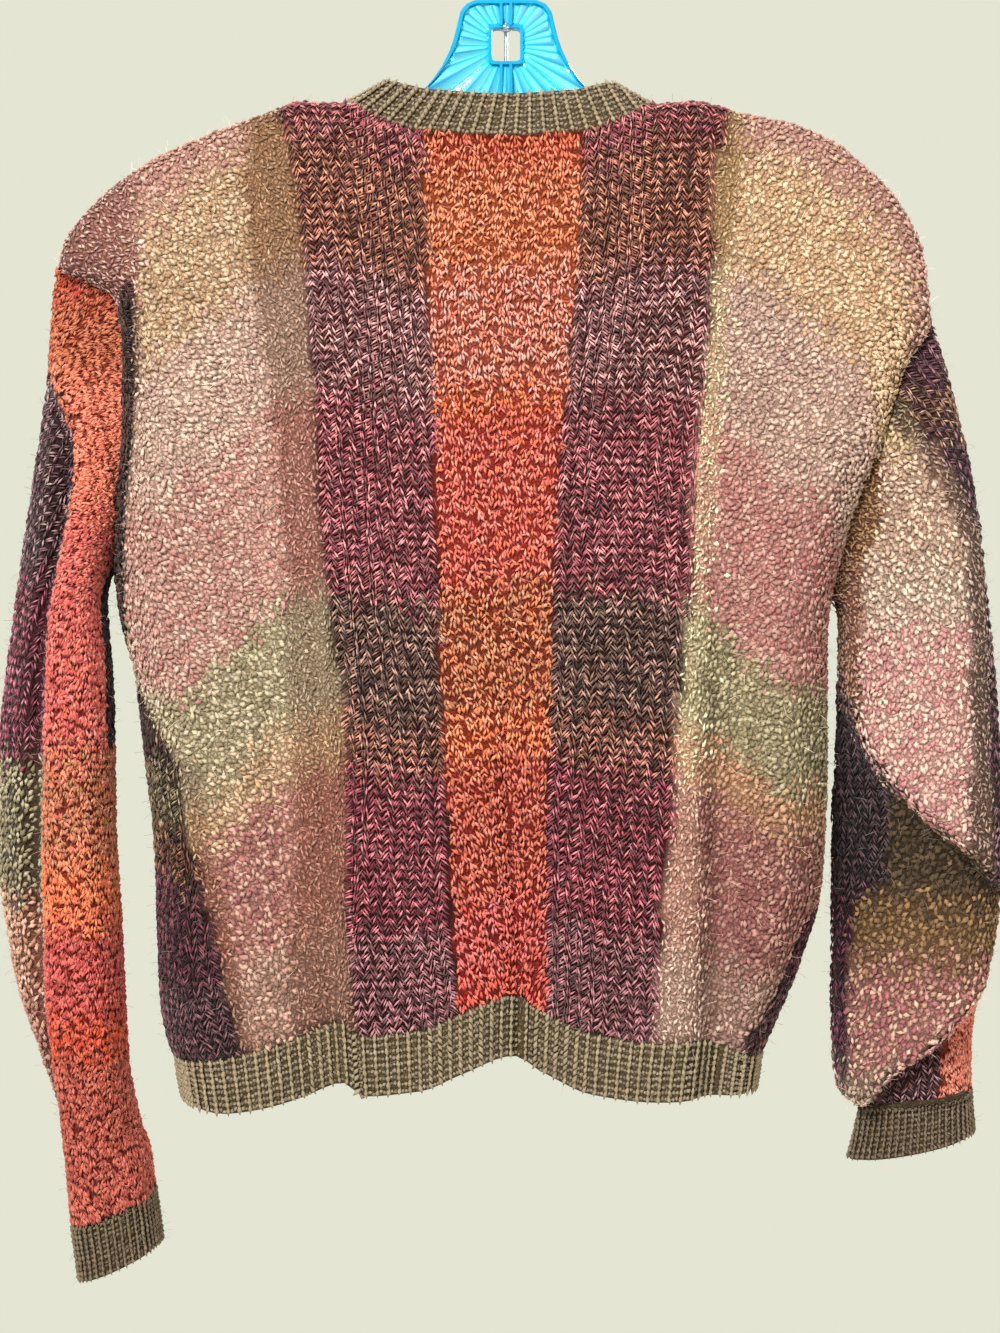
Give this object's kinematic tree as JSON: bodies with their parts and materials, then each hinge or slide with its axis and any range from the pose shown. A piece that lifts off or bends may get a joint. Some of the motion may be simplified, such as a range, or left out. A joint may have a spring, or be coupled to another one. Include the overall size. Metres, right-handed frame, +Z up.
{
  "type": "darned wool sweater on a hanger",
  "caption": "Hand-knitted wool pullover in space-dyed colour blocks with ribbed neck, hem and cuffs, hanging on a plastic hanger.",
  "frame": {"origin": "inside top of the hook, where it bears on a rail", "axes": "+Z up, +X along the shoulders, -Y the way the garment's back faces"},
  "size_m": [0.567, 0.119, 0.7728],
  "materials": {
    "knit": "fuzzy wool and mohair knit in space-dyed blocks",
    "rib": "one by one wool rib",
    "hanger_plastic": "tinted see-through moulded plastic",
    "hook_wire": "plated steel wire"
  },
  "bodies": {
    "root": {"back_panel": "knit", "front_panel": "knit", "sleeve_left": "knit", "sleeve_right": "knit", "hem_rib": "rib", "neckband": "rib", "cuff_left": "rib", "cuff_right": "rib", "hanger_frame": "hanger_plastic", "hanger_hook": "hook_wire"}
  },
  "joints": []
}
